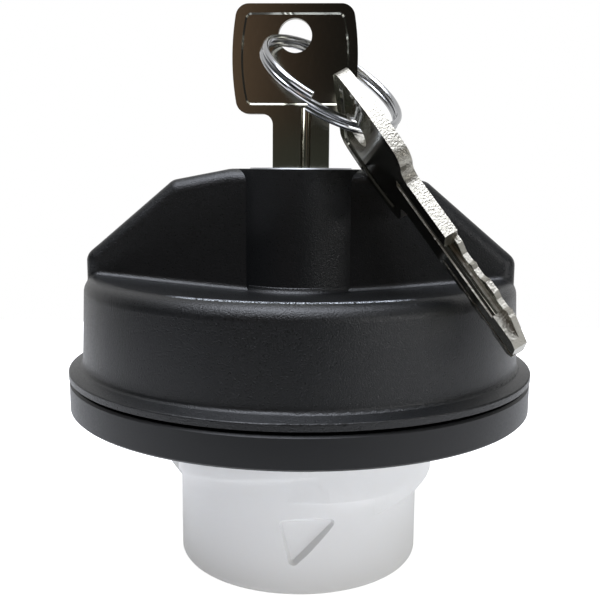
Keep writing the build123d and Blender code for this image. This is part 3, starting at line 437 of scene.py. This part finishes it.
camera_data = bpy.data.cameras.new("camera")
camera_data.sensor_width = SENSOR_WIDTH
camera_data.lens = FOCAL_PIXELS / PICTURE_PIXELS * SENSOR_WIDTH
camera_data.clip_start = 10.0 * MM
camera = bpy.data.objects.new("camera", camera_data)
bpy.context.scene.collection.objects.link(camera)
camera.location = (
    CAMERA_DISTANCE * math.sin(CAMERA_SIDE),
    -CAMERA_DISTANCE * math.cos(CAMERA_SIDE),
    CAMERA_HEIGHT,
)
look = Matrix.Rotation(CAMERA_SIDE, 4, "Z") @ Matrix.Rotation(math.pi / 2 - CAMERA_PITCH, 4, "X")
camera.rotation_euler = (look @ Matrix.Rotation(CAMERA_ROLL, 4, "Z")).to_euler()
bpy.context.scene.camera = camera


# --- lamps ----------------------------------------------------------------------------------
CAP_MIDDLE = (0.0, 0.0, 0.05)
INSERT_MIDDLE = (0.0, 0.0, 0.015)


def softbox(name, place, aim, width, height, power, colour):
    """Rectangular lamp at a place, facing a point."""
    data = bpy.data.lights.new(name, "AREA")
    data.shape = "RECTANGLE"
    data.size = width
    data.size_y = height
    data.energy = power
    data.color = srgb(colour)[:3]
    lamp = bpy.data.objects.new(name, data)
    lamp.location = place
    lamp.rotation_euler = (Vector(aim) - Vector(place)).to_track_quat("-Z", "Y").to_euler()
    bpy.context.scene.collection.objects.link(lamp)


softbox(
    "overhead softbox",
    (-0.05, -0.13, 0.43),
    CAP_MIDDLE,
    width=0.34,
    height=0.32,
    power=2.9,
    colour="eef3ff",
)
softbox(
    "card at the right",
    (0.24, -0.22, 0.10),
    INSERT_MIDDLE,
    width=0.26,
    height=0.05,
    power=0.26,
    colour="ffffff",
)


# --- surroundings ---------------------------------------------------------------------------
# A dim room in front, warm at its left and faintly lit from the table below. White card behind,
# which fades towards the sides, and a grey ceiling.
ROOM_LEVEL = 0.035
CARD_LEVEL = 0.75
CEILING_LEVEL = 0.65
ROOM_DARK = (0.35, 0.35, 0.35, 1.0)  # colours of the room, as multiples of its level
ROOM_WARM = (8.5, 5.7, 4.0, 1.0)
ROOM_LOW = (1.8, 2.0, 1.75, 1.0)
PLAIN = (1.0, 1.0, 1.0, 1.0)
# Where each begins and is complete, on a sphere of radius 1 round the cap.
CARD_Y = (0.0, 0.8)
CEILING_Z = (0.45, 0.75)
WARM_X = (0.0, -0.22)
LOW_Z = (0.05, 0.02)
PLAIN_Y = (-0.93, -0.75)

world = bpy.data.worlds.new("light tent")
bpy.context.scene.world = world
world.use_nodes = True
tent = world.node_tree
tent.nodes.clear()
towards = add(tent, "ShaderNodeTexCoord").outputs["Generated"]
parts = add(tent, "ShaderNodeSeparateXYZ", [("Vector", towards)]).outputs
depth = add(
    tent,
    "ShaderNodeMapRange",
    [("Value", parts["Y"])],
    interpolation_type="SMOOTHSTEP",
    From_Min=CARD_Y[0],
    From_Max=CARD_Y[1],
    To_Min=ROOM_LEVEL,
    To_Max=CARD_LEVEL,
)
height = add(
    tent,
    "ShaderNodeMapRange",
    [("Value", parts["Z"])],
    interpolation_type="SMOOTHSTEP",
    From_Min=CEILING_Z[0],
    From_Max=CEILING_Z[1],
)
level = add(
    tent, "ShaderNodeMix", [(0, height.outputs["Result"]), (VALUE_A, depth.outputs["Result"])]
)
level.inputs[VALUE_B].default_value = CEILING_LEVEL
warmth = add(
    tent,
    "ShaderNodeMapRange",
    [("Value", parts["X"])],
    interpolation_type="SMOOTHSTEP",
    From_Min=WARM_X[0],
    From_Max=WARM_X[1],
)
room = add(tent, "ShaderNodeMix", [(0, warmth.outputs["Result"])], data_type="RGBA")
room.inputs[COLOUR_A].default_value = ROOM_DARK
room.inputs[COLOUR_B].default_value = ROOM_WARM
low = add(tent, "ShaderNodeMapRange", [("Value", parts["Z"])], From_Min=LOW_Z[0], From_Max=LOW_Z[1])
front = add(
    tent,
    "ShaderNodeMix",
    [(0, low.outputs["Result"]), (COLOUR_A, room.outputs[COLOUR_OUT])],
    data_type="RGBA",
)
front.inputs[COLOUR_B].default_value = ROOM_LOW
beside = add(
    tent, "ShaderNodeMapRange", [("Value", parts["Y"])], From_Min=PLAIN_Y[0], From_Max=PLAIN_Y[1]
)
tint = add(
    tent,
    "ShaderNodeMix",
    [(0, beside.outputs["Result"]), (COLOUR_A, front.outputs[COLOUR_OUT])],
    data_type="RGBA",
)
tint.inputs[COLOUR_B].default_value = PLAIN
cast = add(
    tent,
    "ShaderNodeBackground",
    [("Color", tint.outputs[COLOUR_OUT]), ("Strength", level.outputs[VALUE_OUT])],
)
seen = add(tent, "ShaderNodeBackground", Color=PLAIN)
ray = add(tent, "ShaderNodeLightPath").outputs["Is Camera Ray"]
either = add(
    tent,
    "ShaderNodeMixShader",
    [(0, ray), (1, cast.outputs["Background"]), (2, seen.outputs["Background"])],
)
add(tent, "ShaderNodeOutputWorld", [("Surface", either.outputs["Shader"])])

# White paper under the cap. It glows as if lit evenly, and more for the camera than for the cap.
FLOOR_FRONT = -0.13  # past the edge of the picture
FLOOR_REACH = 0.22  # to each side and to the back
PAPER_WHITE = (0.86, 0.86, 0.86, 1.0)
PAPER_GLOW = (0.22, 0.75)  # for the cap, for the camera
floor_mesh = bpy.data.meshes.new("floor")
floor_mesh.from_pydata(
    [
        (-FLOOR_REACH, FLOOR_FRONT, 0),
        (FLOOR_REACH, FLOOR_FRONT, 0),
        (FLOOR_REACH, FLOOR_REACH, 0),
        (-FLOOR_REACH, FLOOR_REACH, 0),
    ],
    [],
    [(0, 1, 2, 3)],
)
floor = bpy.data.objects.new("floor", floor_mesh)
bpy.context.scene.collection.objects.link(floor)
paper, tree, shader, place = new_material(
    "paper, white", Base_Color=PAPER_WHITE, Roughness=0.9, Emission_Color=PLAIN
)
seen_paper = add(tree, "ShaderNodeLightPath").outputs["Is Camera Ray"]
glow = add(
    tree, "ShaderNodeMapRange", [("Value", seen_paper)], To_Min=PAPER_GLOW[0], To_Max=PAPER_GLOW[1]
)
tree.links.new(glow.outputs["Result"], shader.inputs["Emission Strength"])
floor_mesh.materials.append(paper)

bpy.context.scene.view_settings.view_transform = "Standard"
